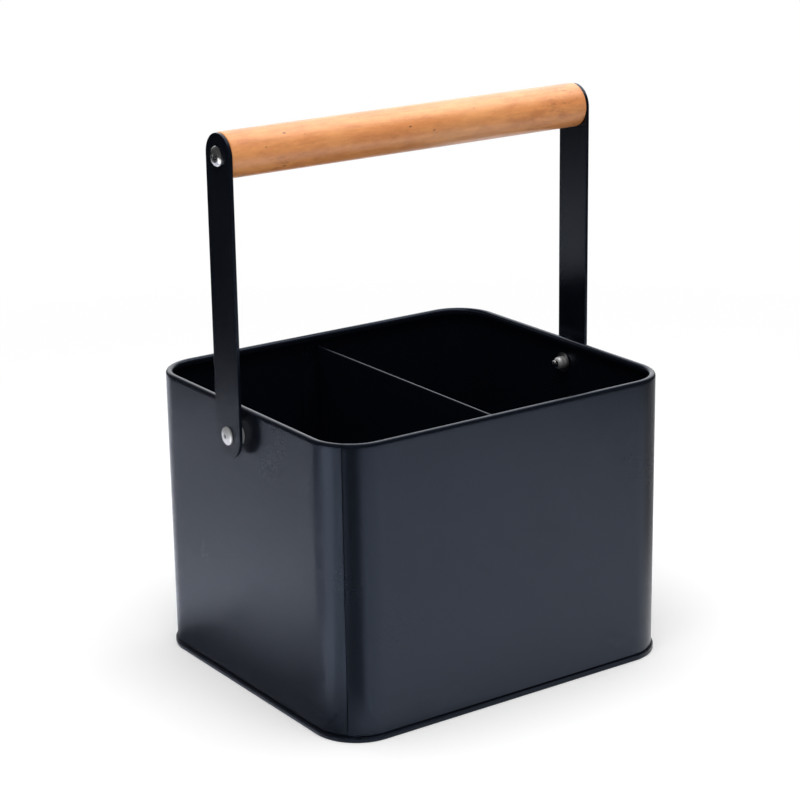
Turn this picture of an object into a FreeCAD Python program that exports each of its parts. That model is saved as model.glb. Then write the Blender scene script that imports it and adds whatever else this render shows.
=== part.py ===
import FreeCAD, Part
import math
import os
import Sketcher

# A sheet-steel tool caddy with a divider and a swinging bail handle.
# X runs along the front face, Y to the back, Z up, in millimetres.
# The origin is the middle of the footprint, on the surface that the caddy stands on.

SIZES = {
    # The box
    "body_width": 230.0,
    "body_depth": 200.0,
    "body_height": 170.0,
    "corner_radius": 26.5,
    "wall_sheet": 0.8,
    "rim_radius": 2.0,
    "rim_return": 1.6,
    "lap_angle": 224.0,
    "lap_width": 10.0,
    "lap_gap": 0.5,
    # The base, folded round the bottom of the wall
    "base_sheet": 1.0,
    "seam_height": 3.4,
    "seam_clearance": 0.15,
    "floor_height": 4.4,
    "floor_overlap": 4.0,
    "fold_bend": 0.6,
    # The divider
    "divider_sheet": 0.8,
    "divider_drop": 7.7,
    "hem_height": 7.0,
    "flange_width": 10.0,
    "flange_drop": 9.0,
    "flange_lift": 5.0,
    # The handle
    "pivot_drop": 16.0,
    "arm_length": 156.3,
    "arm_width": 25.0,
    "arm_sheet": 2.0,
    "grip_diameter": 25.6,
    "grip_chamfer": 0.8,
    # The pivots
    "rivet_diameter": 4.8,
    "rivet_head_diameter": 10.4,
    "rivet_head_height": 2.0,
    "rivet_crown_diameter": 5.6,
    "rivet_brim": 0.5,
    "bulb_diameter": 7.6,
    "bulb_length": 5.0,
    "mandrel_diameter": 2.6,
    "mandrel_recess": 1.1,
    "mandrel_head_diameter": 4.6,
    "mandrel_head_length": 2.2,
    "mandrel_clearance": 0.05,
    "pivot_clearance": 0.08,
    "side_play": 0.15,
    "spacer_diameter": 13.0,
    "spacer_thickness": 4.8,
    "washer_diameter": 12.0,
    "washer_thickness": 1.0,
    # The screws that hold the grip
    "screw_diameter": 4.5,
    "screw_length": 32.0,
    "screw_clearance": 0.05,
    "screw_head_diameter": 11.2,
    "screw_head_height": 2.9,
    "screw_crown_diameter": 6.8,
    "screw_brim": 0.5,
    "recess_width": 1.3,
    "recess_length": 5.6,
    "recess_depth": 1.9,
    "pilot_spare": 2.0,
}


class Size:
    """A length with its number now and the sheet expression that it follows."""

    def __init__(self, value, text):
        self.value = value
        self.text = text

    def combine(self, other, sign):
        other = other if isinstance(other, Size) else Size(float(other), repr(float(other)))
        results = {
            "+": self.value + other.value,
            "-": self.value - other.value,
            "*": self.value * other.value,
        }
        return Size(results[sign], f"({self.text} {sign} {other.text})")

    def __add__(self, other):
        return self.combine(other, "+")

    def __sub__(self, other):
        return self.combine(other, "-")

    def __mul__(self, other):
        return self.combine(other, "*")

    def __neg__(self):
        return self.combine(-1, "*")

    def half(self):
        return self.combine(0.5, "*")


class Arc:
    """A corner of an outline that is reached by an arc about a centre, anticlockwise or not."""

    def __init__(self, x, y, centre, anticlockwise):
        self.x = x
        self.y = y
        self.centre = centre
        self.anticlockwise = anticlockwise


ZERO = Size(0.0, "0")

doc = FreeCAD.newDocument("ToolCaddy")
sheet = doc.addObject("Spreadsheet::Sheet", "Sizes")
for row, (name, number) in enumerate(SIZES.items(), start=1):
    sheet.set(f"A{row}", name)
    sheet.set(f"B{row}", str(number))
    sheet.setAlias(f"B{row}", name)
doc.recompute()


def size(name):
    return Size(sheet.get(name), f"Sizes.{name}")


def bind(thing, path, length):
    thing.setExpression(path, length.text)


def new_body(label):
    body = doc.addObject("PartDesign::Body", label)
    body.Label = label
    return body


def origin_plane(body, role):
    return next(item for item in body.Origin.OriginFeatures if item.Role == role)


def new_sketch(body, name, role, lift=ZERO):
    """A sketch on one of the body's own planes, lifted along that plane's normal."""
    sketch = body.newObject("Sketcher::SketchObject", name)
    sketch.AttachmentSupport = [(origin_plane(body, role), "")]
    sketch.MapMode = "FlatFace"
    if lift is not ZERO:
        bind(sketch, "AttachmentOffset.Base.z", lift)
    return sketch


def pin_point(sketch, geometry, position, x, y):
    """Ties one point of the sketch to its two coordinates."""
    for axis, kind, length in ((-2, "DistanceX", x), (-1, "DistanceY", y)):
        if length is ZERO:
            sketch.addConstraint(Sketcher.Constraint("PointOnObject", geometry, position, axis))
            continue
        rule = Sketcher.Constraint(kind, -1, 1, geometry, position, length.value)
        bind(sketch, f"Constraints[{sketch.addConstraint(rule)}]", length)


def draw_outline(sketch, corners):
    """Draws a closed outline through (x, y) corners and Arc corners, each tied to the sheet."""
    ends = [(c.x, c.y) if isinstance(c, Arc) else c for c in corners]
    segments = []
    for index, corner in enumerate(corners):
        start = FreeCAD.Vector(*(length.value for length in ends[index - 1]))
        end = FreeCAD.Vector(*(length.value for length in ends[index]))
        if not isinstance(corner, Arc):
            geometry = sketch.addGeometry(Part.LineSegment(start, end))
            segments.append((geometry, 1, 2))
            continue
        middle = FreeCAD.Vector(*(length.value for length in corner.centre))
        first, last = (start, end) if corner.anticlockwise else (end, start)
        circle = Part.Circle(middle, FreeCAD.Vector(0, 0, 1), (start - middle).Length)
        angles = [math.atan2(*((point - middle)[i] for i in (1, 0))) for point in (first, last)]
        geometry = sketch.addGeometry(Part.ArcOfCircle(circle, *angles))
        segments.append((geometry, 1, 2) if corner.anticlockwise else (geometry, 2, 1))
    for index, (geometry, start, end) in enumerate(segments):
        before, _, joint = segments[index - 1]
        sketch.addConstraint(Sketcher.Constraint("Coincident", before, joint, geometry, start))
        pin_point(sketch, geometry, end, *ends[index])
        if isinstance(corners[index], Arc):
            hold_centre(sketch, geometry, ends[index - 1], corners[index])


def hold_centre(sketch, geometry, start, corner):
    """Fixes the last freedom of an arc whose two ends are already tied: one centre coordinate."""
    x, y = corner.centre
    upright = abs(corner.x.value - start[0].value) < abs(corner.y.value - start[1].value)
    kind, length, axis = ("DistanceX", x, -2) if upright else ("DistanceY", y, -1)
    if length is ZERO:
        sketch.addConstraint(Sketcher.Constraint("PointOnObject", geometry, 3, axis))
        return
    rule = Sketcher.Constraint(kind, -1, 1, geometry, 3, length.value)
    bind(sketch, f"Constraints[{sketch.addConstraint(rule)}]", length)


def rounded_rectangle(half_width, half_depth, radius):
    """Corners of a rounded rectangle about the origin, starting in the middle of the right side."""
    inner_x = half_width - radius
    inner_y = half_depth - radius
    return [
        (half_width, inner_y),
        Arc(inner_x, half_depth, (inner_x, inner_y), True),
        (-inner_x, half_depth),
        Arc(-half_width, inner_y, (-inner_x, inner_y), True),
        (-half_width, -inner_y),
        Arc(-inner_x, -half_depth, (-inner_x, -inner_y), True),
        (inner_x, -half_depth),
        Arc(half_width, -inner_y, (inner_x, -inner_y), True),
        (half_width, ZERO),
    ]


def pad(body, sketch, length, both_ways=False, backwards=False):
    feature = body.newObject("PartDesign::Pad", f"{sketch.Name}_pad")
    feature.Profile = sketch
    bind(feature, "Length", length)
    feature.Midplane = both_ways
    feature.Reversed = backwards
    return feature


def pocket(body, sketch, length, both_ways=False, backwards=False):
    """Cuts the sketch out of the body and checks that it cut."""
    doc.recompute()
    before = body.Shape.Volume
    feature = body.newObject("PartDesign::Pocket", f"{sketch.Name}_pocket")
    feature.Profile = sketch
    feature.Reversed = backwards
    feature.Midplane = both_ways
    bind(feature, "Length", length)
    doc.recompute()
    if not body.Shape.Volume < before:
        raise RuntimeError(f"{feature.Name} cuts nothing")
    return feature


def sweep_round_box(body, name, corners, spine):
    """Sweeps an outline, drawn in the XZ plane at the right wall, once round the box."""
    profile = new_sketch(body, f"{name}_profile", "XZ_Plane")
    draw_outline(profile, corners)
    feature = body.newObject("PartDesign::AdditivePipe", f"{name}_sweep")
    feature.Profile = profile
    feature.Spine = spine
    return feature


def turned_part(label, corners):
    """A body turned about its own X axis from an outline of (x, radius) corners."""
    body = new_body(label)
    sketch = new_sketch(body, f"{label}_outline", "XZ_Plane")
    draw_outline(sketch, corners)
    feature = body.newObject("PartDesign::Revolution", f"{label}_turn")
    feature.Profile = sketch
    feature.ReferenceAxis = (sketch, ["H_Axis"])
    feature.Angle = 360.0
    return body


def place(body, side, x, z):
    """Sets a part that was turned for the right side at its place, or turned round on the left."""
    bind(body, "Placement.Base.x", x * side)
    bind(body, "Placement.Base.z", z)
    bind(body, "Placement.Rotation.Angle", Size(0.0, "0") if side > 0 else Size(180.0, "180"))


# Sizes that several pieces share
wall_face_x = size("body_width").half()
wall_face_y = size("body_depth").half()
inner_face_x = wall_face_x - size("wall_sheet")
inner_face_y = wall_face_y - size("wall_sheet")
pivot_z = size("body_height") - size("pivot_drop")
grip_z = pivot_z + size("arm_length")
arm_inner_x = wall_face_x + size("spacer_thickness") + size("side_play")
arm_outer_x = arm_inner_x + size("arm_sheet")
rivet_radius = size("rivet_diameter").half()
rivet_hole = rivet_radius + size("pivot_clearance")
rivet_seat_x = arm_outer_x + size("side_play")
rivet_grip = rivet_seat_x - inner_face_x + size("washer_thickness")
mandrel_radius = size("mandrel_diameter").half()
rivet_bore = mandrel_radius + size("mandrel_clearance")
screw_radius = size("screw_diameter").half()
screw_hole = screw_radius + size("screw_clearance")


def build_wall():
    """One wrapped sheet: straight sides, a rim rolled inward into an open hem, a lap seam."""
    body = new_body("body_wall")
    spine = new_sketch(body, "wall_spine", "XY_Plane")
    draw_outline(spine, rounded_rectangle(wall_face_x, wall_face_y, size("corner_radius")))
    curl = size("rim_radius")
    curl_inside = curl - size("wall_sheet")
    centre_x = wall_face_x - curl
    centre_z = size("body_height") - curl
    centre = (centre_x, centre_z)
    return_z = centre_z - size("rim_return")
    sweep_round_box(body, "wall", [
        (inner_face_x, size("base_sheet")),
        (wall_face_x, size("base_sheet")),
        (wall_face_x, centre_z),
        Arc(centre_x, size("body_height"), centre, True),
        turn_corner(centre, curl, -1),
        (centre_x - curl, centre_z),
        (centre_x - curl, return_z),
        (centre_x - curl_inside, return_z),
        (centre_x - curl_inside, centre_z),
        turn_corner(centre, curl_inside, -1),
        turn_corner(centre, curl_inside, 1),
        (inner_face_x, centre_z),
    ], spine)
    doc.recompute()
    add_lap_seam(body)
    holes = new_sketch(body, "rivet_holes", "YZ_Plane")
    draw_circle(holes, ZERO, pivot_z, rivet_hole)
    pocket(body, holes, arm_outer_x * 2, both_ways=True)
    return body


def turn_corner(centre, radius, side):
    """The point halfway up a quarter turn, where an inner bend is drawn with straight runs."""
    reach = radius * math.sqrt(0.5)
    return (centre[0] + reach * side, centre[1] + reach)


def draw_circle(sketch, x, y, radius):
    middle = FreeCAD.Vector(x.value, y.value, 0)
    circle = Part.Circle(middle, FreeCAD.Vector(0, 0, 1), radius.value)
    geometry = sketch.addGeometry(circle)
    pin_point(sketch, geometry, 3, x, y)
    rule = sketch.addConstraint(Sketcher.Constraint("Radius", geometry, radius.value))
    bind(sketch, f"Constraints[{rule}]", radius)


def corner_sketch(body, name, lift):
    """A sketch about the front left corner's centre, whose own X axis points out at the lap."""
    sketch = new_sketch(body, name, "XY_Plane", lift)
    bind(sketch, "AttachmentOffset.Base.x", size("corner_radius") - wall_face_x)
    bind(sketch, "AttachmentOffset.Base.y", size("corner_radius") - wall_face_y)
    bind(sketch, "AttachmentOffset.Rotation.Angle", size("lap_angle"))
    return sketch


def add_lap_seam(body):
    """The joggled under-lap inside the corner, and the gap at the free edge of the outer sheet."""
    radius = size("corner_radius")
    under_radius = radius - size("wall_sheet") * 2
    joined_radius = radius - size("wall_sheet").half()
    reach = size("lap_width").half()
    strip = corner_sketch(body, "lap_strip", size("floor_height") + size("seam_clearance"))
    under_x = chord_distance(under_radius, reach)
    joined_x = chord_distance(joined_radius, reach)
    origin = (ZERO, ZERO)
    draw_outline(strip, [
        (joined_x, -reach),
        Arc(joined_x, reach, origin, True),
        (under_x, reach),
        Arc(under_x, -reach, origin, False),
    ])
    strip_top = size("body_height") - size("rim_radius") - size("rim_return") - size("seam_clearance")
    pad(body, strip, strip_top - size("floor_height") - size("seam_clearance"))
    gap = size("lap_gap").half()
    beyond = radius + size("wall_sheet")
    cuts = (
        ("lap_line", radius - size("wall_sheet") * 1.5, ZERO, strip_top),
        ("rim_line", radius - size("rim_radius") * 3, strip_top, size("rim_radius") * 3),
    )
    for name, depth, lift, height in cuts:
        line = corner_sketch(body, name, lift)
        draw_outline(line, [(depth, -gap), (beyond, -gap), (beyond, gap), (depth, gap)])
        pocket(body, line, height, backwards=True)


def chord_distance(radius, reach):
    """How far from the centre a circle's chord lies, when half the chord is reach long."""
    value = math.sqrt(radius.value ** 2 - reach.value ** 2)
    return Size(value, f"sqrt({radius.text}^2 - {reach.text}^2)")


def build_base():
    """The floor, with its edge folded down, under the wall and up its outside."""
    body = new_body("base_pan")
    spine = new_sketch(body, "base_spine", "XY_Plane")
    draw_outline(spine, rounded_rectangle(wall_face_x, wall_face_y, size("corner_radius")))
    sheet_size = size("base_sheet")
    inside_x = inner_face_x - size("seam_clearance")
    leg_x = inside_x - sheet_size
    outside_x = wall_face_x + size("seam_clearance")
    bead_x = outside_x + sheet_size
    floor_x = leg_x - size("floor_overlap")
    floor_z = size("floor_height")
    bend = size("fold_bend")
    lip_z = size("seam_height")
    sweep_round_box(body, "base", [
        (bead_x - bend, ZERO),
        (bead_x, bend),
        (bead_x, lip_z - bend),
        (bead_x - bend, lip_z),
        (outside_x, lip_z),
        (outside_x, sheet_size),
        (inside_x, sheet_size),
        (inside_x, floor_z - bend),
        (inside_x - bend, floor_z),
        (floor_x, floor_z),
        (floor_x, floor_z - sheet_size),
        (leg_x, floor_z - sheet_size),
        (leg_x, bend),
        (leg_x + bend, ZERO),
    ], spine)
    inset = wall_face_x - floor_x - size("floor_overlap").half()
    panel = new_sketch(body, "floor_panel", "XY_Plane", floor_z - sheet_size)
    draw_outline(panel, rounded_rectangle(
        wall_face_x - inset, wall_face_y - inset, size("corner_radius") - inset))
    pad(body, panel, sheet_size)
    return body


def build_divider():
    """A sheet hemmed along the top, with a flange at each end turned to the left."""
    body = new_body("divider")
    side = size("divider_sheet").half()
    hem_x = size("divider_sheet") + side
    top = size("body_height") - size("divider_drop")
    hem_centre = (side, top - size("divider_sheet"))
    hem_foot = top - size("hem_height")
    section = new_sketch(body, "divider_section", "XZ_Plane")
    draw_outline(section, [
        (-side, size("floor_height")),
        (side, size("floor_height")),
        (side, hem_foot),
        (hem_x, hem_foot),
        (hem_x, hem_centre[1]),
        Arc(side, top, hem_centre, True),
        Arc(-side, hem_centre[1], hem_centre, True),
    ])
    pad(body, section, inner_face_y * 2, both_ways=True)
    flange_top = top - size("flange_drop")
    flange_end = -(size("flange_width") + side)
    flange = new_sketch(body, "divider_flange", "XZ_Plane", inner_face_y - size("divider_sheet"))
    draw_outline(flange, [
        (flange_end, size("floor_height") + size("flange_lift")),
        (side, size("floor_height") + size("flange_lift")),
        (side, flange_top),
        (-side, flange_top),
        (flange_end, flange_top - size("flange_width")),
    ])
    front = pad(body, flange, size("divider_sheet"))
    both = body.newObject("PartDesign::Mirrored", "both_flanges")
    both.Originals = [front]
    both.MirrorPlane = (origin_plane(body, "XZ_Plane"), [""])
    body.Tip = both
    return body


def build_arm(label, side):
    """A flat strap with full-round ends, drilled for the pivot and the grip screw."""
    body = new_body(label)
    reach = size("arm_width").half()
    lift = arm_inner_x if side > 0 else -arm_outer_x
    outline = new_sketch(body, f"{label}_outline", "YZ_Plane", lift)
    draw_outline(outline, [
        (reach, grip_z),
        Arc(ZERO, grip_z + reach, (ZERO, grip_z), True),
        Arc(-reach, grip_z, (ZERO, grip_z), True),
        (-reach, pivot_z),
        Arc(ZERO, pivot_z - reach, (ZERO, pivot_z), True),
        Arc(reach, pivot_z, (ZERO, pivot_z), True),
    ])
    draw_circle(outline, ZERO, pivot_z, rivet_hole)
    draw_circle(outline, ZERO, grip_z, screw_hole)
    pad(body, outline, size("arm_sheet"))
    return body


def build_grip():
    """A turned wooden rod that fills the space between the arms, drilled for a screw at each end."""
    end = arm_inner_x
    radius = size("grip_diameter").half()
    chamfer = size("grip_chamfer")
    hole_end = end - size("screw_length") - size("pilot_spare")
    body = turned_part("handle_grip", [
        (-hole_end, ZERO),
        (-hole_end, screw_hole),
        (-end, screw_hole),
        (-end, radius - chamfer),
        (chamfer - end, radius),
        (end - chamfer, radius),
        (end, radius - chamfer),
        (end, screw_hole),
        (hole_end, screw_hole),
        (hole_end, ZERO),
    ])
    bind(body, "Placement.Base.z", grip_z)
    return body


def build_grip_screw(label, side):
    """A pan-head screw: crowned head with a cross recess and a plain shank."""
    head = size("screw_head_diameter").half()
    crown = size("screw_crown_diameter").half()
    brim = size("screw_brim")
    top = size("screw_head_height")
    end = -(size("screw_length") + size("arm_sheet"))
    body = turned_part(label, [
        (end, ZERO),
        (top, ZERO),
        (top, crown),
        (brim, head),
        (ZERO, head),
        (ZERO, screw_radius),
        (end, screw_radius),
    ])
    wide = size("recess_width").half()
    reach = size("recess_length").half()
    recess = new_sketch(body, f"{label}_recess", "YZ_Plane", top)
    draw_outline(recess, [
        (wide, wide), (wide, reach), (-wide, reach), (-wide, wide), (-reach, wide), (-reach, -wide),
        (-wide, -wide), (-wide, -reach), (wide, -reach), (wide, -wide), (reach, -wide), (reach, wide),
    ])
    pocket(body, recess, size("recess_depth"))
    place(body, side, arm_outer_x, grip_z)
    return body


def build_pivot_rivet(label, side):
    """A blind rivet: crowned head, shank through arm, spacer, wall and washer, and its set bulb."""
    head = size("rivet_head_diameter").half()
    crown = size("rivet_crown_diameter").half()
    brim = size("rivet_brim")
    top = size("rivet_head_height")
    bulb = size("bulb_diameter").half()
    bulb_end = -(rivet_grip + size("bulb_length"))
    body = turned_part(label, [
        (bulb_end, rivet_bore),
        (top, rivet_bore),
        (top, crown),
        (brim, head),
        (ZERO, head),
        (ZERO, rivet_radius),
        (-rivet_grip, rivet_radius),
        (-rivet_grip, bulb),
        (bulb_end, bulb),
    ])
    place(body, side, rivet_seat_x, pivot_z)
    return body


def build_mandrel(label, side):
    """The pin that pulled the rivet up and broke off below the face of its head."""
    tail = -(rivet_grip + size("bulb_length"))
    head = size("mandrel_head_diameter").half()
    head_end = tail - size("mandrel_head_length")
    body = turned_part(label, [
        (head_end, ZERO),
        (size("rivet_head_height") - size("mandrel_recess"), ZERO),
        (size("rivet_head_height") - size("mandrel_recess"), mandrel_radius),
        (tail, mandrel_radius),
        (tail, head),
        (head_end, head),
    ])
    place(body, side, rivet_seat_x, pivot_z)
    return body


def build_ring(label, side, seat_x, thickness, diameter):
    """A round spacer or washer on the rivet, standing outward from its seat."""
    radius = diameter.half()
    body = turned_part(label, [
        (ZERO, rivet_hole),
        (thickness, rivet_hole),
        (thickness, radius),
        (ZERO, radius),
    ])
    place(body, side, seat_x, pivot_z)
    return body


pieces = [build_wall(), build_base(), build_divider(), build_grip()]
for word, side in (("left", -1), ("right", 1)):
    pieces += [
        build_arm(f"{word}_handle_arm", side),
        build_grip_screw(f"{word}_grip_screw", side),
        build_pivot_rivet(f"{word}_pivot_rivet", side),
        build_mandrel(f"{word}_rivet_mandrel", side),
        build_ring(f"{word}_pivot_spacer", side, wall_face_x, size("spacer_thickness"),
                   size("spacer_diameter")),
        build_ring(f"{word}_backing_washer", side, inner_face_x - size("washer_thickness"),
                   size("washer_thickness"), size("washer_diameter")),
    ]

doc.recompute()
for item in doc.Objects:
    if "Invalid" in item.State or "Error" in item.State:
        raise RuntimeError(f"{item.Name} did not build: {item.State}")
for piece in pieces:
    shape = piece.Shape
    if shape.isNull() or not shape.isValid() or len(shape.Solids) != 1:
        raise RuntimeError(f"{piece.Label} is not one valid solid")

os.makedirs("parts", exist_ok=True)
for piece in pieces:
    piece.Shape.exportStep(f"parts/{piece.Label}.step")
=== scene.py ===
import math

import bmesh
import bpy
from mathutils import Matrix, Vector


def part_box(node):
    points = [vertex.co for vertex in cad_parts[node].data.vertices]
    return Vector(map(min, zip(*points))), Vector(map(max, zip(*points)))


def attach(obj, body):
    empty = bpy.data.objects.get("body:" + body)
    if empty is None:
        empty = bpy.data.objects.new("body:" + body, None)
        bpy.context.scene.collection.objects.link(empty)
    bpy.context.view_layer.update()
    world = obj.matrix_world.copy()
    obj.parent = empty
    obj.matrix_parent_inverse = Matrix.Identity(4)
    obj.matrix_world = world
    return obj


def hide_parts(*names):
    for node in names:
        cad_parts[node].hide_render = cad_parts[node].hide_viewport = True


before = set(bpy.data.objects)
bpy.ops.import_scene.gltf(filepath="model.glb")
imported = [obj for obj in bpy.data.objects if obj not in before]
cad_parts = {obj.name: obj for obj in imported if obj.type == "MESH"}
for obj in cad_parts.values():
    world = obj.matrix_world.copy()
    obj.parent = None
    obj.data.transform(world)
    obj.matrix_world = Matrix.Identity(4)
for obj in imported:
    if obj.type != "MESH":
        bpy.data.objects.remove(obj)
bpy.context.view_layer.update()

# A black sheet-steel tool caddy with a wooden bail handle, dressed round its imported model.
# Lengths are in metres and angles in degrees.
# The frame is the model's own: X along the front, Y to the back, Z up.

# Sizes that the nodes' boxes don't give
CORNER_RADIUS = 0.0265
WALL_SHEET = 0.0008
RIM_RADIUS = 0.002
RIM_RETURN = 0.0016
LAP_ANGLE = 224.0
LAP_WIDTH = 0.010
LAP_GAP = 0.0005
LAP_FLAT = 0.003
BASE_SHEET = 0.001
SEAM_HEIGHT = 0.0034
SEAM_CLEARANCE = 0.00015
FLOOR_OVERLAP = 0.004
FOLD_BEND = 0.0006
DIVIDER_SHEET = 0.0008
HEM_HEIGHT = 0.007
FLANGE_DROP = 0.009
FLANGE_LIFT = 0.005
FLANGE_EDGE = DIVIDER_SHEET / 6
ARM_EDGE = 0.0003
RIVET_SHANK = 0.0024
PIVOT_CLEARANCE = 0.00008
RIVET_HEAD_HEIGHT = 0.002
RIVET_BORE = 0.00135
RIVET_BRIM = 0.0005
RIVET_BULB = 0.0038
PIN_RADIUS = 0.0013
SCREW_SHANK = 0.00225
SCREW_BRIM = 0.0005
RECESS_WIDTH = 0.0013
RECESS_LENGTH = 0.0056
RECESS_DEPTH = 0.0019
GRIP_EDGE = 0.0008
BUSH_EDGE = 0.0004
WASHER_EDGE = 0.0002

# How round a domed head is: at 1 it would meet its brim upright
DOME_ROUNDNESS = 0.98

# The taper of the driver recess: shares of its depth, each with the share of its length there
RECESS_TAPER = ((-1.0, 1.0), (0.35, 0.95), (1.0, 0.45))

# The middle of the front left corner, where the base's sweep starts and ends
CORNER_MIDDLE = 225.0

# How finely round shapes are divided
CORNER_STEP = 3.75
TURN_STEPS = 64
BEND_STEPS = 8

# How far beside a bend its last points lie, and how close points are that count as one
SUPPORT = 0.0012
WELD = 1e-7

# The angle between faces from which an edge stays sharp
SHARP_ANGLE = 30
STRAP_SHARP_ANGLE = 20

wall_low, wall_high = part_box("body_wall")
base_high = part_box("base_pan")[1]
half_x = wall_high.x
half_y = wall_high.y
wall_top = wall_high.z
floor_top = base_high.z


# Meshes

def arc_points(centre, radius, start, end, steps=BEND_STEPS):
    """Points along an arc, from one angle to another, both ends included."""
    angles = [math.radians(start + (end - start) * i / steps) for i in range(steps + 1)]
    return [(centre[0] + radius * math.cos(a), centre[1] + radius * math.sin(a)) for a in angles]


def onward(outward):
    """The way along the wall, anticlockwise, from the way out of it."""
    return Vector((-outward.y, outward.x, 0))


def corner_stations(side_x, side_y, start, end):
    """Places round one corner of the box, each a point of its outer face and the way out of it."""
    centre = Vector((side_x * (half_x - CORNER_RADIUS), side_y * (half_y - CORNER_RADIUS), 0))
    steps = max(1, round((end - start) / CORNER_STEP))
    stations = []
    for i in range(steps + 1):
        angle = math.radians(start + (end - start) * i / steps)
        outward = Vector((math.cos(angle), math.sin(angle), 0))
        stations.append((centre + outward * CORNER_RADIUS, outward))
    if start % 90 == 0:
        point, outward = stations[0]
        stations.insert(0, (point - onward(outward) * SUPPORT, outward))
    if end % 90 == 0:
        point, outward = stations[-1]
        stations.append((point + onward(outward) * SUPPORT, outward))
    return stations


def box_stations(seam, gap=0.0, flat=0.0):
    """Places once round the box, from an angle on the front left corner back to the same angle.

    The last stretch may be flat, as the end of a rolled sheet is."""
    spare = math.degrees(gap / 2 / CORNER_RADIUS)
    flat_turn = math.degrees(math.atan(flat / CORNER_RADIUS))
    last_corner = corner_stations(-1, -1, 180, seam - spare - flat_turn)
    if flat:
        point, outward = last_corner[-1]
        last_corner.append((point + onward(outward) * flat, outward))
    return [
        *corner_stations(-1, -1, seam + spare, 270),
        *corner_stations(1, -1, 270, 360),
        *corner_stations(1, 1, 0, 90),
        *corner_stations(-1, 1, 90, 180),
        *last_corner,
    ]


def sweep_rows(bm, stations, profile):
    """Rows of points, one at each station, from a profile of (distance outward, height) points."""
    return [
        [bm.verts.new((*(point + outward * out).xy, height)) for out, height in profile]
        for point, outward in stations
    ]


def bridge(bm, rows, closed=True):
    """Joins each row of points to the next one with faces. A row of one point makes a tip."""
    for row, following in zip(rows, rows[1:]):
        count = max(len(row), len(following))
        for i in range(count if closed else count - 1):
            j = i + 1
            corners = [row[i % len(row)], row[j % len(row)],
                       following[j % len(following)], following[i % len(following)]]
            bm.faces.new(list(dict.fromkeys(corners)))


def bar(bm, rows):
    """Joins closed rows of points to each other, and closes both ends."""
    bridge(bm, rows)
    bm.faces.new(rows[0])
    bm.faces.new(rows[-1])


def lathe(bm, profile, place):
    """Turns a profile of (x, radius) points about the X axis, and sets it in place."""
    rings = []
    for x, radius in profile:
        count = TURN_STEPS if radius > 0 else 1
        angles = [2 * math.pi * i / count for i in range(count)]
        rings.append([
            bm.verts.new(place @ Vector((x, radius * math.cos(a), radius * math.sin(a)))) for a in angles
        ])
    bridge(bm, rings)


def inset_loop(loop, distance):
    """Moves a closed loop of (u, v) points inward, to the left of its direction."""
    moved = []
    for i, (u, v) in enumerate(loop):
        before = Vector(loop[i - 1])
        after = Vector(loop[(i + 1) % len(loop)])
        here = Vector((u, v))
        into = (here - before).normalized().orthogonal()
        out = (after - here).normalized().orthogonal()
        step = (into + out) / (1 + into.dot(out))
        moved.append(here + step * distance)
    return moved


def plate(bm, loops, low, high, edge, place):
    """A flat plate between two depths, from an outline and its holes, with rounded edges."""
    ease = edge * (1 - math.sqrt(0.5))
    levels = [
        (edge, low),
        (ease, low + ease),
        (0, low + edge),
        (0, high - edge),
        (ease, high - ease),
        (edge, high),
    ]
    caps = ([], [])
    for loop in loops:
        rows = [
            [bm.verts.new(place @ Vector((*point, depth))) for point in inset_loop(loop, inset)]
            for inset, depth in levels
        ]
        bridge(bm, rows)
        for cap, row in zip(caps, (rows[0], rows[-1])):
            cap += [bm.edges.get((row[i - 1], row[i])) for i in range(len(row))]
    for cap in caps:
        bmesh.ops.triangle_fill(bm, use_beauty=True, edges=cap)


def finish_mesh(name, bm):
    """Closes a mesh under construction, with its faces turned outward."""
    bmesh.ops.recalc_face_normals(bm, faces=bm.faces)
    mesh = bpy.data.meshes.new(name)
    bm.to_mesh(mesh)
    bm.free()
    return mesh


def add_piece(name, mesh, node, body, material, sharp_angle=SHARP_ANGLE):
    """Stands a mesh in for a node of the model, on the node's own body."""
    for face in mesh.polygons:
        face.use_smooth = True
    mesh.set_sharp_from_angle(angle=math.radians(sharp_angle))
    mesh.materials.append(material)
    piece = bpy.data.objects.new(name, mesh)
    bpy.context.scene.collection.objects.link(piece)
    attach(piece, body)
    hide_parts(node)


# Material nodes

WHITE = (1, 1, 1, 1)
BLACK = (0, 0, 0, 1)

# The range that noise mostly keeps to
NOISE_SPAN = (0.3, 0.7)


def new_material(name):
    """A material with a bare Principled shader, and its node tree."""
    material = bpy.data.materials.new(name)
    material.use_nodes = True
    shader = material.node_tree.nodes["Principled BSDF"]
    return material, material.node_tree, shader


def empty_material(name):
    """A material without any nodes, and its node tree."""
    material = bpy.data.materials.new(name)
    material.use_nodes = True
    material.node_tree.nodes.clear()
    return material, material.node_tree


def feed(tree, socket, value):
    """Links a node's output to a socket, or sets the socket to a constant."""
    if isinstance(value, bpy.types.NodeSocket):
        tree.links.new(value, socket)
    else:
        socket.default_value = value


def feed_all(tree, node, inputs):
    """Feeds several inputs of a node, by name or by number."""
    for key, value in inputs.items():
        feed(tree, node.inputs[key], value)


def add_node(tree, kind, inputs=None, **settings):
    """Adds a node, sets its options, and links or sets its inputs."""
    node = tree.nodes.new(kind)
    for key, value in settings.items():
        setattr(node, key, value)
    feed_all(tree, node, inputs or {})
    return node


def own_place(tree):
    """Where a point lies in the object's own space."""
    return add_node(tree, "ShaderNodeTexCoord").outputs["Object"]


def stretched_place(tree, stretch):
    """Where a point lies in the object's own space, stretched by three factors."""
    mapped = add_node(tree, "ShaderNodeMapping", {"Vector": own_place(tree), "Scale": stretch})
    return mapped.outputs["Vector"]


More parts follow.
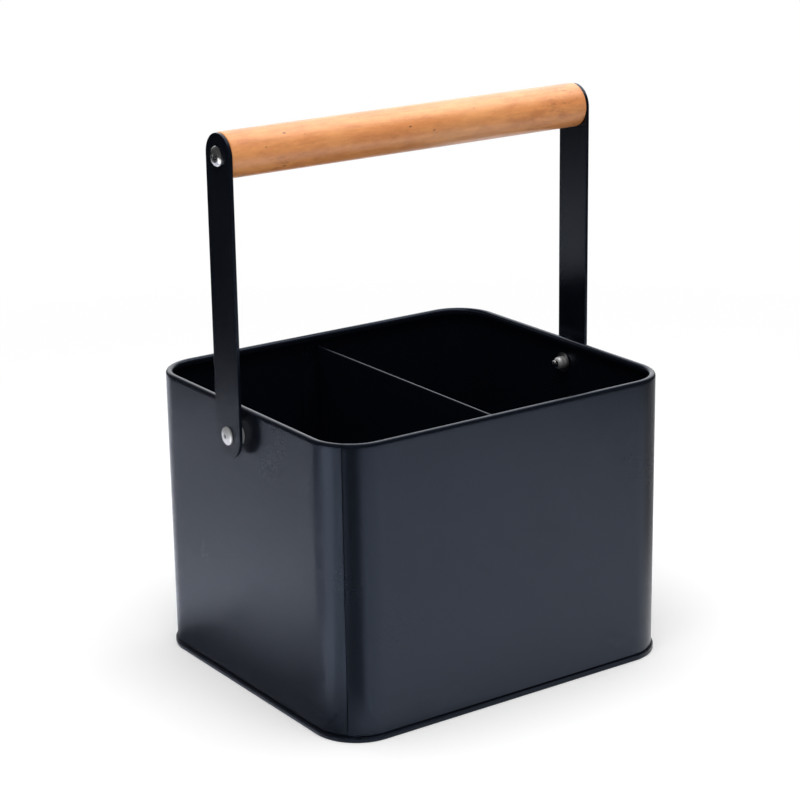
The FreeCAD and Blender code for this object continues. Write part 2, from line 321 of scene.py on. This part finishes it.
def noise(tree, scale, stretch=(1, 1, 1), detail=4.0, roughness=0.55):
    """Noise in the object's own space, at a scale in marks per metre before it is stretched."""
    place = stretched_place(tree, stretch)
    grain = add_node(tree, "ShaderNodeTexNoise", {
        "Vector": place, "Scale": scale, "Detail": detail, "Roughness": roughness,
    })
    return grain.outputs["Fac"]


def spots(tree, scale, stretch):
    """Distance to the nearest of some scattered points, in the object's own space."""
    place = stretched_place(tree, stretch)
    cells = add_node(tree, "ShaderNodeTexVoronoi", {"Vector": place, "Scale": scale})
    return cells.outputs["Distance"]


def remap(tree, value, low, high, to_low, to_high):
    ramp = add_node(tree, "ShaderNodeMapRange", {
        "Value": value, "From Min": low, "From Max": high, "To Min": to_low, "To Max": to_high,
    })
    return ramp.outputs["Result"]


def spread_noise(tree, value, to_low, to_high):
    """Carries the usual range of noise over to another one."""
    return remap(tree, value, *NOISE_SPAN, to_low, to_high)


def math_node(tree, operation, first, second):
    return add_node(tree, "ShaderNodeMath", {0: first, 1: second}, operation=operation).outputs[0]


def vector_node(tree, operation, inputs):
    return add_node(tree, "ShaderNodeVectorMath", inputs, operation=operation)


def length_of(tree, vector):
    return vector_node(tree, "LENGTH", {0: vector}).outputs["Value"]


def blend_colours(tree, share, first, second):
    mix = add_node(tree, "ShaderNodeMix", data_type="RGBA")
    for key, value in (("Factor", share), ("A", first), ("B", second)):
        feed(tree, next(s for s in mix.inputs if s.name == key and s.enabled), value)
    return next(s for s in mix.outputs if s.enabled)


def bump(tree, height, depth, under=None):
    """A surface with marks of a given depth, on top of another bump if there is one."""
    inputs = {"Height": height, "Distance": depth}
    if under is not None:
        inputs["Normal"] = under
    return add_node(tree, "ShaderNodeBump", inputs).outputs["Normal"]


# Materials

COAT_DARK = (0.003, 0.0042, 0.0075, 1)
COAT_PALE = (0.0048, 0.0062, 0.0105, 1)
COAT_TINT = (0.57, 0.7, 0.97, 1)
WOOD_PALE = (0.9, 0.4, 0.14, 1)
WOOD_MAIN = (0.81, 0.31, 0.095, 1)
WOOD_STREAK = (0.62, 0.21, 0.06, 1)
WOOD_CLOUD = (0.92, 0.46, 0.18, 1)
WOOD_FLECK = (0.36, 0.115, 0.035, 1)
WOOD_KNOT = (0.14, 0.045, 0.018, 1)
ZINC_BLUE = 0.01

# How deep the fine marks of each surface are
PEEL_DEPTH = 0.000025
SPECK_DEPTH = 0.00001
PORE_DEPTH = 0.00003
TURNING_DEPTH = 0.000004


def powder_coat(name, index):
    """Satin black powder coat: almost black, with a fine orange peel and a faintly uneven gloss."""
    material, tree, shader = new_material(name)
    cloud = noise(tree, 18, detail=3)
    speck = noise(tree, 900, detail=2)
    peel = noise(tree, 420, detail=2)
    broad_gloss = spread_noise(tree, cloud, 0.2, 0.25)
    fine_gloss = spread_noise(tree, speck, 0.0, 0.03)
    grit = bump(tree, speck, SPECK_DEPTH)
    feed_all(tree, shader, {
        "Base Color": blend_colours(tree, speck, COAT_DARK, COAT_PALE),
        "Roughness": math_node(tree, "ADD", broad_gloss, fine_gloss),
        "Normal": bump(tree, peel, PEEL_DEPTH, under=grit),
        "Specular Tint": COAT_TINT,
        "IOR": index,
    })
    return material


def wood():
    """Clear-lacquered pale hardwood, its grain along X, with pores, flecks and a few pin knots."""
    material, tree, shader = new_material("grip_wood")
    figure = noise(tree, 120, stretch=(0.09, 1, 1), detail=5, roughness=0.6)
    streak = noise(tree, 420, stretch=(0.03, 1, 1), detail=3)
    pores = noise(tree, 1500, stretch=(0.12, 1, 1), detail=2)
    cloud = noise(tree, 28, stretch=(0.5, 1, 1), detail=3)
    fleck = noise(tree, 520, stretch=(0.35, 1, 1), detail=2)
    mottle = noise(tree, 190, stretch=(0.3, 1, 1), detail=6, roughness=0.7)
    flecks = remap(tree, fleck, 0.54, 0.7, 0, 0.6)
    fleck_patches = remap(tree, cloud, 0.48, 0.36, 0, 1)
    ragged_edge = spread_noise(tree, pores, -0.03, 0.03)
    knots = math_node(tree, "ADD", spots(tree, 130, stretch=(0.6, 1, 1)), ragged_edge)
    stains = (
        (spread_noise(tree, figure, 0, 1), WOOD_MAIN),
        (remap(tree, mottle, 0.4, 0.66, 0, 0.85), WOOD_STREAK),
        (remap(tree, streak, 0.45, 0.75, 0, 0.4), WOOD_STREAK),
        (remap(tree, cloud, 0.5, 0.75, 0, 0.4), WOOD_CLOUD),
        (math_node(tree, "MULTIPLY", flecks, fleck_patches), WOOD_FLECK),
        (remap(tree, knots, 0.04, 0.1, 0.9, 0), WOOD_KNOT),
    )
    colour = WOOD_PALE
    for share, stain in stains:
        colour = blend_colours(tree, share, colour, stain)
    feed_all(tree, shader, {
        "Base Color": colour,
        "Roughness": spread_noise(tree, streak, 0.36, 0.5),
        "Normal": bump(tree, pores, PORE_DEPTH),
        "Specular IOR Level": 0.8,
        "Coat Weight": 0.4,
        "Coat Roughness": 0.3,
    })
    return material


def zinc_grey(level):
    """A grey with a trace of blue."""
    return (level, level, level + ZINC_BLUE, 1)


def plated_metal(name, dark, light, roughness, metallic=1.0):
    """Plated metal between two greys, with a fine uneven finish and faint turning marks about X."""
    material, tree, shader = new_material(name)
    cloud = noise(tree, 700, detail=3)
    turning = noise(tree, 2500, stretch=(3, 0.4, 0.4), detail=2)
    feed_all(tree, shader, {
        "Base Color": blend_colours(tree, cloud, zinc_grey(dark), zinc_grey(light)),
        "Roughness": spread_noise(tree, cloud, roughness - 0.05, roughness + 0.07),
        "Normal": bump(tree, turning, TURNING_DEPTH),
        "Metallic": metallic,
    })
    return material


COAT = powder_coat("powder_coat", index=1.53)
# A copy of the coat with a lower index, so it mirrors less: painted shade that darkens the handle straps
SHADED_STRAP_COAT = powder_coat("strap_coat_painted_shade", index=1.43)
# A copy with a still lower index, so it mirrors less again: painted shade for the contact shadow at the
# foot, on the base tray's bead and floor
SHADED_BASE_COAT = powder_coat("base_coat_painted_shade", index=1.36)
WOOD = wood()
BRIGHT = plated_metal("bright_zinc", dark=0.7, light=0.86, roughness=0.24)
SATIN = plated_metal("satin_zinc", dark=0.84, light=0.95, roughness=0.4, metallic=0.75)
DULL = plated_metal("dull_zinc", dark=0.55, light=0.7, roughness=0.5, metallic=0.4)
GREY = plated_metal("grey_zinc", dark=0.28, light=0.4, roughness=0.42)


# The box

def build_wall():
    """One wrapped sheet with a rolled rim, its lap seam open on the front left corner."""
    curl = (-RIM_RADIUS, wall_top - RIM_RADIUS)
    lip_foot = curl[1] - RIM_RETURN
    lip_inside = RIM_RADIUS * 2 - WALL_SHEET
    foot = wall_low.z
    profile = [
        (0, foot),
        (0, foot + SUPPORT),
        (0, curl[1] - SUPPORT),
        *arc_points(curl, RIM_RADIUS, 0, 180, BEND_STEPS * 2),
        (-RIM_RADIUS * 2, lip_foot),
        (-lip_inside, lip_foot),
        *arc_points(curl, RIM_RADIUS - WALL_SHEET, 180, 0, BEND_STEPS * 2),
        (-WALL_SHEET, curl[1] - SUPPORT),
        (-WALL_SHEET, foot + SUPPORT),
        (-WALL_SHEET, foot),
    ]
    strip = [
        (-WALL_SHEET * 2, floor_top + SEAM_CLEARANCE),
        (-WALL_SHEET - SEAM_CLEARANCE, floor_top + SEAM_CLEARANCE),
        (-WALL_SHEET - SEAM_CLEARANCE, lip_foot - SEAM_CLEARANCE),
        (-WALL_SHEET * 2, lip_foot - SEAM_CLEARANCE),
    ]
    spread = math.degrees(LAP_WIDTH / 2 / CORNER_RADIUS)
    behind_lap = corner_stations(-1, -1, LAP_ANGLE - spread, LAP_ANGLE + spread)
    bm = bmesh.new()
    bar(bm, sweep_rows(bm, box_stations(LAP_ANGLE, LAP_GAP, LAP_FLAT), profile))
    bar(bm, sweep_rows(bm, behind_lap, strip))
    add_piece("wall_shell", finish_mesh("wall_shell", bm), "body_wall", "caddy", COAT)


def build_base():
    """The floor pan, whose edge folds down, under the wall and up its outside as a rounded bead."""
    inside = -WALL_SHEET - SEAM_CLEARANCE
    leg = inside - BASE_SHEET
    bead = base_high.x - half_x
    lip = BASE_SHEET / 2
    profile = [
        (leg - FLOOR_OVERLAP, floor_top),
        (leg, floor_top),
        *arc_points((inside - FOLD_BEND, floor_top - FOLD_BEND), FOLD_BEND, 90, 0),
        (inside, BASE_SHEET),
        (SEAM_CLEARANCE, BASE_SHEET),
        *arc_points((bead - lip, SEAM_HEIGHT - lip), lip, 180, 0),
        *arc_points((bead - FOLD_BEND, FOLD_BEND), FOLD_BEND, 0, -90),
        *arc_points((leg + FOLD_BEND, FOLD_BEND), FOLD_BEND, 270, 180),
        (leg, floor_top - BASE_SHEET),
        (leg - FLOOR_OVERLAP, floor_top - BASE_SHEET),
    ]
    bm = bmesh.new()
    rows = sweep_rows(bm, box_stations(CORNER_MIDDLE), profile)
    bridge(bm, rows, closed=False)
    bm.faces.new([row[0] for row in rows[:-1]])
    bm.faces.new([row[-1] for row in rows[:-1]])
    bmesh.ops.remove_doubles(bm, verts=bm.verts, dist=WELD)
    # The base tray takes the darkest copy of the coat, a painted contact shadow
    add_piece("base_tray", finish_mesh("base_tray", bm), "base_pan", "caddy", SHADED_BASE_COAT)


def build_divider():
    """A sheet with its top edge folded over to the right, and a flange on the wall at each end."""
    low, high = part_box("divider")
    side = DIVIDER_SHEET / 2
    hem = (side, high.z - DIVIDER_SHEET)
    section = [
        (-side, low.z),
        (side, low.z),
        (side, high.z - HEM_HEIGHT),
        (high.x, high.z - HEM_HEIGHT),
        *arc_points(hem, DIVIDER_SHEET, 0, 180, BEND_STEPS * 2),
    ]
    flange_top = high.z - FLANGE_DROP
    width = -side - low.x
    flange = [
        (low.x, low.z + FLANGE_LIFT),
        (-side, low.z + FLANGE_LIFT),
        (-side, flange_top),
        (low.x, flange_top - width),
    ]
    upright = Matrix(((1, 0, 0), (0, 0, 1), (0, 1, 0)))
    bm = bmesh.new()
    bar(bm, [[bm.verts.new((x, y, z)) for x, z in section] for y in (low.y, high.y)])
    for start in (low.y, high.y - DIVIDER_SHEET):
        plate(bm, [flange], start, start + DIVIDER_SHEET, FLANGE_EDGE, upright)
    add_piece("divider_panel", finish_mesh("divider_panel", bm), "divider", "caddy", COAT)


# The handle

def build_arm(word):
    """A flat strap with full-round ends, drilled for the pivot rivet and the grip screw."""
    low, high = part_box(f"{word}_handle_arm")
    reach = high.y
    pivot = low.z + reach
    grip = high.z - reach
    outline = arc_points((0, grip), reach, 0, 180, TURN_STEPS // 2)
    outline += arc_points((0, pivot), reach, 180, 360, TURN_STEPS // 2)
    holes = [
        arc_points((0, z), radius, 360, 0, TURN_STEPS // 2)[:-1]
        for z, radius in ((pivot, RIVET_SHANK + PIVOT_CLEARANCE), (grip, SCREW_SHANK))
    ]
    sideways = Matrix(((0, 0, 1), (1, 0, 0), (0, 1, 0)))
    bm = bmesh.new()
    plate(bm, [outline, *holes], low.x, high.x, ARM_EDGE, sideways)
    name = f"{word}_arm_strap"
    mesh = finish_mesh(name, bm)
    # The straps take the darker copy of the coat, a painted shade
    add_piece(name, mesh, f"{word}_handle_arm", "handle", SHADED_STRAP_COAT, STRAP_SHARP_ANGLE)


def build_grip():
    """A turned rod between the arms, with softened ends."""
    low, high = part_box("handle_grip")
    radius = high.y
    end = high.x - GRIP_EDGE
    rim = radius - GRIP_EDGE
    profile = [
        (low.x, 0),
        *arc_points((-end, rim), GRIP_EDGE, 180, 90),
        *arc_points((end, rim), GRIP_EDGE, 90, 0),
        (high.x, 0),
    ]
    bm = bmesh.new()
    lathe(bm, profile, Matrix.Translation((0, 0, (low.z + high.z) / 2)))
    add_piece("grip_rod", finish_mesh("grip_rod", bm), "handle_grip", "handle", WOOD)


# The fasteners

def turned_place(side, centre_z, seat):
    """Where a part made for the right side goes: on its seat, and turned round on the left."""
    turn = Matrix.Rotation(0 if side > 0 else math.pi, 4, "Z")
    return Matrix.Translation((side * seat, 0, centre_z)) @ turn


def reach_along_x(low, high):
    """How far from the caddy's middle a box on one side of it starts and ends."""
    return sorted((abs(low.x), abs(high.x)))


def dome(radius, brim, top, hole=0.0):
    """Points of a domed head as (x, radius), from its top or its hole out to its brim."""
    rise = top - brim
    start = hole / radius
    shares = [start + (1 - start) * i / BEND_STEPS for i in range(BEND_STEPS + 1)]
    return [(brim + rise * math.sqrt(1 - DOME_ROUNDNESS * s * s), radius * s) for s in shares]


def cut(mesh, cutter_mesh):
    """Takes one closed mesh out of another."""
    body = bpy.data.objects.new("body", mesh)
    cutter = bpy.data.objects.new("cutter", cutter_mesh)
    for item in (body, cutter):
        bpy.context.scene.collection.objects.link(item)
    boolean = body.modifiers.new("cut", "BOOLEAN")
    boolean.object = cutter
    boolean.operation = "DIFFERENCE"
    boolean.solver = "EXACT"
    result = bpy.data.meshes.new_from_object(body.evaluated_get(bpy.context.evaluated_depsgraph_get()))
    for item in (body, cutter):
        bpy.data.objects.remove(item)
    return result


def cross_cutter(top, place):
    """A tapered cross that cuts the driver recess, standing proud of the head."""
    bm = bmesh.new()
    rings = []
    for depth_share, length_share in RECESS_TAPER:
        x = top - RECESS_DEPTH * depth_share
        reach = RECESS_LENGTH / 2 * length_share
        wide = RECESS_WIDTH / 2 * (1 + length_share) / 2
        corners = [(wide, wide), (wide, reach), (-wide, reach)]
        ring = []
        for _ in range(4):
            ring += [bm.verts.new(place @ Vector((x, y, z))) for y, z in corners]
            corners = [(-z, y) for y, z in corners]
        rings.append(ring)
    bar(bm, rings)
    return finish_mesh("cross", bm)


def build_screw(word, side):
    """A pan-head screw with a cross recess, through the arm into the end of the grip."""
    low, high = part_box(f"{word}_grip_screw")
    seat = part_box("right_handle_arm")[1].x
    inner, outer = reach_along_x(low, high)
    radius = high.y
    top = outer - seat
    end = inner - seat
    profile = [
        *dome(radius, SCREW_BRIM, top),
        (0, radius),
        (0, SCREW_SHANK),
        (end, SCREW_SHANK),
        (end, 0),
    ]
    place = turned_place(side, (low.z + high.z) / 2, seat)
    bm = bmesh.new()
    lathe(bm, profile, place)
    name = f"{word}_screw"
    mesh = cut(finish_mesh(name, bm), cross_cutter(top, place))
    mesh.name = name
    add_piece(name, mesh, f"{word}_grip_screw", "handle", BRIGHT)


def rivet_profile(low, high, washer_inner):
    """Points of a set blind rivet as (x, radius): domed head, shank, and bulb behind the washer."""
    inner, outer = reach_along_x(low, high)
    radius = high.y
    seat = outer - RIVET_HEAD_HEIGHT
    head = dome(radius, RIVET_BRIM, RIVET_HEAD_HEIGHT, RIVET_BORE)
    bulb_centre = inner + RIVET_BULB - RIVET_BORE
    bulb = arc_points((bulb_centre, 0), RIVET_BULB - RIVET_BORE, 90, 180)
    profile = [
        *[(seat + x, r) for x, r in head],
        (seat, radius),
        (seat, RIVET_SHANK),
        (washer_inner, RIVET_SHANK),
        (washer_inner, RIVET_BULB),
        *[(x, r + RIVET_BORE) for x, r in bulb],
    ]
    return [*profile, profile[0]]


def pin_profile(low, high, rivet_inner):
    """Points of the broken pin as (x, radius): its stem in the rivet, and its rounded head behind it."""
    inner, outer = reach_along_x(low, high)
    radius = high.y
    return [
        (outer, 0),
        (outer, PIN_RADIUS),
        (rivet_inner, PIN_RADIUS),
        (rivet_inner, radius),
        *arc_points((inner + radius / 2, radius / 2), radius / 2, 90, 180),
        (inner, 0),
    ]


def ring_profile(low, high, edge):
    """Points of a round spacer or washer as (x, radius), its outer rims chamfered."""
    inner, outer = reach_along_x(low, high)
    radius = high.y
    return [
        (inner, RIVET_SHANK),
        (inner, radius - edge),
        (inner + edge, radius),
        (outer - edge, radius),
        (outer, radius - edge),
        (outer, RIVET_SHANK),
        (inner, RIVET_SHANK),
    ]


def build_pivot(word, side):
    """A blind rivet with its broken pin, the bush under the arm, and the washer inside the wall."""
    rivet_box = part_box(f"{word}_pivot_rivet")
    pin_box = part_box(f"{word}_rivet_mandrel")
    bush_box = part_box(f"{word}_pivot_spacer")
    washer_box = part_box(f"{word}_backing_washer")
    rivet_inner = reach_along_x(*rivet_box)[0]
    washer_inner = reach_along_x(*washer_box)[0]
    rivet = rivet_profile(*rivet_box, washer_inner)
    pin = pin_profile(*pin_box, rivet_inner)
    bush = ring_profile(*bush_box, BUSH_EDGE)
    washer = ring_profile(*washer_box, WASHER_EDGE)
    turned = (
        ("rivet", "pivot_rivet", rivet, "bright_fastener", SATIN),
        ("rivet_pin", "rivet_mandrel", pin, "bright_fastener", BRIGHT),
        ("pivot_bush", "pivot_spacer", bush, "grey_zinc", DULL),
        ("tail_washer", "backing_washer", washer, "grey_zinc", GREY),
    )
    place = turned_place(side, (rivet_box[0].z + rivet_box[1].z) / 2, 0)
    for name, node, profile, slot, material in turned:
        bm = bmesh.new()
        lathe(bm, profile, place)
        bmesh.ops.remove_doubles(bm, verts=bm.verts, dist=WELD)
        mesh = finish_mesh(f"{word}_{name}", bm)
        add_piece(f"{word}_{name}", mesh, f"{word}_{node}", "caddy", material)


build_wall()
build_base()
build_divider()
build_grip()
for word, side in (("left", -1), ("right", 1)):
    build_arm(word)
    build_screw(word, side)
    build_pivot(word, side)


# The stage: a white floor, with a dark room, a black flag and cards that only reflections see

# How far the stage reaches, and the opening of the flag round the table
STAGE_REACH = 6.0
TABLE_FRONT = 0.7
TABLE_LEFT = 0.6
TABLE_RIGHT = 0.66
TABLE_BACK = 0.8
FLAG_LIFT = 0.0005
FLAG_DARK = (0.004, 0.004, 0.004, 1)
FLAG_PALE = (0.008, 0.008, 0.008, 1)

# The floor's tone and glow near the caddy, the light it sends up further out, and where it fades to white
FLOOR_TONE = (0.9, 0.9, 0.9, 1)
FLOOR_GLOW = 0.18
FLOOR_BOUNCE = 0.6
FADE_START = 0.4
FADE_END = 0.9

# The world's light, the room's, and that of the window in the room
WORLD_LIGHT = 0.25
ROOM_LIGHT = 0.05
ROOM_SEGMENTS = 48
WINDOW_LIGHT = 1.7
WINDOW_ELEVATION = 30
WINDOW_SPREAD = (22, 42)

# Where the cards on the floor fade out, and the colour of the cool one
CARD_END = (1.2, 1.3)
COOL_LIGHT = (0.67, 0.92, 1.75, 1)

# The camera
CAMERA_AZIMUTH = -34.812
CAMERA_ELEVATION = 19.8887
CAMERA_ROLL = -0.8949
CAMERA_DISTANCE = 1.389637
CAMERA_YAW = -0.2272
CAMERA_PITCH = 2.6228
CAMERA_TARGET = Vector((0, 0, 0.085))
FOCAL_PIXELS = 2363.368
IMAGE_PIXELS = 800
SENSOR = 36.0


def flat_mesh(name, outline_loops, height):
    """A level sheet with an outline and any holes."""
    bm = bmesh.new()
    edges = []
    for loop in outline_loops:
        verts = [bm.verts.new((x, y, height)) for x, y in loop]
        edges += [bm.edges.new((verts[i - 1], verts[i])) for i in range(len(verts))]
    bmesh.ops.triangle_fill(bm, use_beauty=True, edges=edges, normal=(0, 0, 1))
    return finish_mesh(name, bm)


def rectangle(left, right, near, far):
    return [(left, near), (right, near), (right, far), (left, far)]


def seen_ray(tree):
    """1 for camera, glossy and transmission rays, and 0 for all others."""
    path = add_node(tree, "ShaderNodeLightPath")
    seen = math_node(tree, "MAXIMUM", path.outputs["Is Camera Ray"], path.outputs["Is Glossy Ray"])
    return math_node(tree, "MAXIMUM", seen, path.outputs["Is Transmission Ray"])


def add_stage(name, mesh, material):
    mesh.materials.append(material)
    item = bpy.data.objects.new(name, mesh)
    bpy.context.scene.collection.objects.link(item)
    return item


def show_in_reflections_only(item):
    item.visible_camera = False
    item.visible_diffuse = False
    item.visible_shadow = False
    item.visible_transmission = False


def build_floor():
    """A white floor that catches the caddy's soft shadow, and fades to plain white further out."""
    material, tree, shader = new_material("floor_paper")
    fade = remap(tree, length_of(tree, own_place(tree)), FADE_START, FADE_END, 0.0, 1.0)
    seen_light = remap(tree, fade, 0, 1, FLOOR_GLOW, 1 - FLOOR_BOUNCE)
    seen = math_node(tree, "MULTIPLY", seen_ray(tree), seen_light)
    bounce = math_node(tree, "MULTIPLY", fade, FLOOR_BOUNCE)
    feed_all(tree, shader, {
        "Base Color": blend_colours(tree, fade, FLOOR_TONE, BLACK),
        "Roughness": 0.9,
        "Specular IOR Level": 0.0,
        "Emission Color": WHITE,
        "Emission Strength": math_node(tree, "ADD", seen, bounce),
    })
    outline = rectangle(-STAGE_REACH, STAGE_REACH, -STAGE_REACH, STAGE_REACH)
    add_stage("floor", flat_mesh("floor", [outline], 0.0), material)


def build_flag():
    """A black card round the table."""
    material, tree, shader = new_material("flag_cloth")
    weave = noise(tree, 400)
    feed_all(tree, shader, {
        "Base Color": blend_colours(tree, weave, FLAG_DARK, FLAG_PALE),
        "Roughness": 1.0,
        "Specular IOR Level": 0.0,
    })
    outside = rectangle(-STAGE_REACH, STAGE_REACH, -STAGE_REACH, STAGE_REACH)
    table = rectangle(-TABLE_LEFT, TABLE_RIGHT, -TABLE_FRONT, TABLE_BACK)
    flag = add_stage("flag", flat_mesh("flag", [outside, table], FLAG_LIFT), material)
    flag.rotation_euler.z = math.radians(CAMERA_AZIMUTH)
    show_in_reflections_only(flag)


def build_dome():
    """A dark room for reflections, with one bright window behind and above the caddy."""
    material, tree = empty_material("dome")
    turn = math.radians(CAMERA_AZIMUTH)
    rise = math.radians(WINDOW_ELEVATION)
    window = (-math.sin(turn) * math.cos(rise), math.cos(turn) * math.cos(rise), math.sin(rise))
    edges = [math.cos(math.radians(angle)) for angle in reversed(WINDOW_SPREAD)]
    aim = vector_node(tree, "NORMALIZE", {0: own_place(tree)}).outputs["Vector"]
    facing = vector_node(tree, "DOT_PRODUCT", {0: aim, 1: window}).outputs["Value"]
    light = remap(tree, facing, *edges, ROOM_LIGHT, WINDOW_LIGHT)
    glow = add_node(tree, "ShaderNodeEmission", {"Strength": light}).outputs[0]
    add_node(tree, "ShaderNodeOutputMaterial", {"Surface": glow})
    bm = bmesh.new()
    bmesh.ops.create_uvsphere(
        bm, u_segments=ROOM_SEGMENTS, v_segments=ROOM_SEGMENTS // 2, radius=STAGE_REACH)
    show_in_reflections_only(add_stage("dome", finish_mesh("dome", bm), material))


def build_world():
    """White wherever it is seen, and dimmer as a light."""
    world = bpy.data.worlds.new("tent")
    bpy.context.scene.world = world
    world.use_nodes = True
    tree = world.node_tree
    feed_all(tree, tree.nodes["Background"], {
        "Color": WHITE,
        "Strength": remap(tree, seen_ray(tree), 0, 1, WORLD_LIGHT, 1),
    })


def add_card(name, apex, azimuth, spread, near, far, lift, opacity, light=0.0, colour=WHITE):
    """A soft-edged level fan, from an apex towards an azimuth, that only reflections see.

    Its sides fade out between two half angles, and its ends between two near and two far distances."""
    material, tree = empty_material(name)
    place = own_place(tree)
    away = length_of(tree, place)
    split = add_node(tree, "ShaderNodeSeparateXYZ", {"Vector": place})
    aside = math_node(tree, "ABSOLUTE", split.outputs["Y"], 0.0)
    angle = math_node(tree, "ARCTAN2", aside, split.outputs["X"])
    inner_edge, outer_edge = (math.radians(half_angle) for half_angle in spread)
    share = remap(tree, angle, inner_edge, outer_edge, opacity, 0.0)
    share = math_node(tree, "MULTIPLY", share, remap(tree, away, *near, 0.0, 1.0))
    share = math_node(tree, "MULTIPLY", share, remap(tree, away, *far, 1.0, 0.0))
    clear = add_node(tree, "ShaderNodeBsdfTransparent").outputs[0]
    glow = add_node(tree, "ShaderNodeEmission", {"Color": colour, "Strength": light}).outputs[0]
    blend = add_node(tree, "ShaderNodeMixShader", {0: share, 1: clear, 2: glow})
    add_node(tree, "ShaderNodeOutputMaterial", {"Surface": blend.outputs[0]})
    reach = far[1]
    side = reach * math.tan(outer_edge)
    card = add_stage(name, flat_mesh(name, [rectangle(0, reach, -side, side)], 0.0), material)
    card.location = (*apex, lift)
    card.rotation_euler.z = math.radians(azimuth)
    show_in_reflections_only(card)


def build_cards():
    """Dark and bright patches for the coat and the lacquer to mirror. A higher card covers a lower one."""
    left_corner = (CORNER_RADIUS - half_x, CORNER_RADIUS - half_y)
    right_corner = (-left_corner[0], left_corner[1])
    left_pivot = (-half_x, 0.0)
    right_pivot = (half_x, 0.0)
    far_right = (1.0, 0.0)
    far_left = (-1.0, 0.0)
    add_card("front_shade", left_corner, azimuth=233, spread=(12, 25), near=(0.04, 0.09), far=CARD_END,
             lift=0.001, opacity=0.85)
    add_card("left_tint", left_corner, azimuth=125, spread=(50, 60), near=(0.0, 0.01), far=CARD_END,
             lift=0.0003, opacity=0.12, light=1.0, colour=COOL_LIGHT)
    add_card("left_glow", left_corner, azimuth=177, spread=(8, 18), near=(0.04, 0.08), far=CARD_END,
             lift=0.0015, opacity=1.0, light=1.75)
    add_card("left_shade", far_right, azimuth=180, spread=(4.6, 6.2), near=(1.0, 1.01), far=(1.135, 1.21),
             lift=0.002, opacity=0.79)
    add_card("right_shade", right_corner, azimuth=2, spread=(18, 45), near=(0.03, 0.22), far=CARD_END,
             lift=0.0025, opacity=0.64)
    add_card("far_shade", left_pivot, azimuth=125, spread=(28, 42), near=(0.14, 0.32), far=(0.5, 0.56),
             lift=0.0035, opacity=0.27)
    add_card("grip_glow", far_left, azimuth=0, spread=(2, 5), near=(0.87, 0.97), far=(1.22, 1.34),
             lift=0.42, opacity=1.0, light=2.4)
    add_card("side_shade", left_corner, azimuth=140, spread=(9, 16), near=(0.04, 0.08), far=CARD_END,
             lift=0.003, opacity=0.3)
    add_card("arm_glow", right_pivot, azimuth=129, spread=(6, 10), near=(0.06, 0.12), far=(0.2, 0.6),
             lift=0.19, opacity=1.0, light=0.66)


def add_softbox(name, place, target, width, height, power):
    """A soft lamp that points at a target and isn't mirrored itself."""
    light = bpy.data.lights.new(name, "AREA")
    light.shape = "RECTANGLE"
    light.size = width
    light.size_y = height
    light.energy = power
    lamp = bpy.data.objects.new(name, light)
    lamp.location = place
    lamp.rotation_euler = (Vector(target) - Vector(place)).to_track_quat("-Z", "Y").to_euler()
    lamp.visible_glossy = False
    bpy.context.scene.collection.objects.link(lamp)


def build_camera():
    """The camera at the photograph's viewing angle, fitted to the box's edges."""
    azimuth = math.radians(CAMERA_AZIMUTH)
    elevation = math.radians(CAMERA_ELEVATION)
    roll = math.radians(CAMERA_ROLL)
    back = Vector((
        math.sin(azimuth) * math.cos(elevation),
        -math.cos(azimuth) * math.cos(elevation),
        math.sin(elevation),
    ))
    upright = Vector((0, 0, 1))
    right = upright.cross(back).normalized()
    up = back.cross(right)
    turn = right * math.tan(math.radians(CAMERA_YAW)) + up * math.tan(math.radians(CAMERA_PITCH))
    backward = (back - turn).normalized()
    level = upright.cross(backward).normalized()
    above = backward.cross(level)
    across = level * math.cos(roll) + above * math.sin(roll)
    upward = above * math.cos(roll) - level * math.sin(roll)
    data = bpy.data.cameras.new("camera")
    data.sensor_width = SENSOR
    data.lens = FOCAL_PIXELS * SENSOR / IMAGE_PIXELS
    data.clip_end = STAGE_REACH * 10
    camera = bpy.data.objects.new("camera", data)
    place = CAMERA_TARGET + back * CAMERA_DISTANCE
    turned = Matrix((across, upward, backward)).transposed().to_4x4()
    camera.matrix_world = Matrix.Translation(place) @ turned
    bpy.context.scene.collection.objects.link(camera)
    bpy.context.scene.camera = camera


build_floor()
build_flag()
build_dome()
build_world()
build_cards()
add_softbox("overhead", place=(-0.1, -0.2, 1.8), target=(0, 0, 0.1), width=2.0, height=2.0, power=38)
add_softbox("front", place=(-0.6, -1.6, 0.35), target=(0, 0, 0.25), width=1.2, height=0.8, power=2.2)
build_camera()
bpy.context.scene.view_settings.view_transform = "Standard"
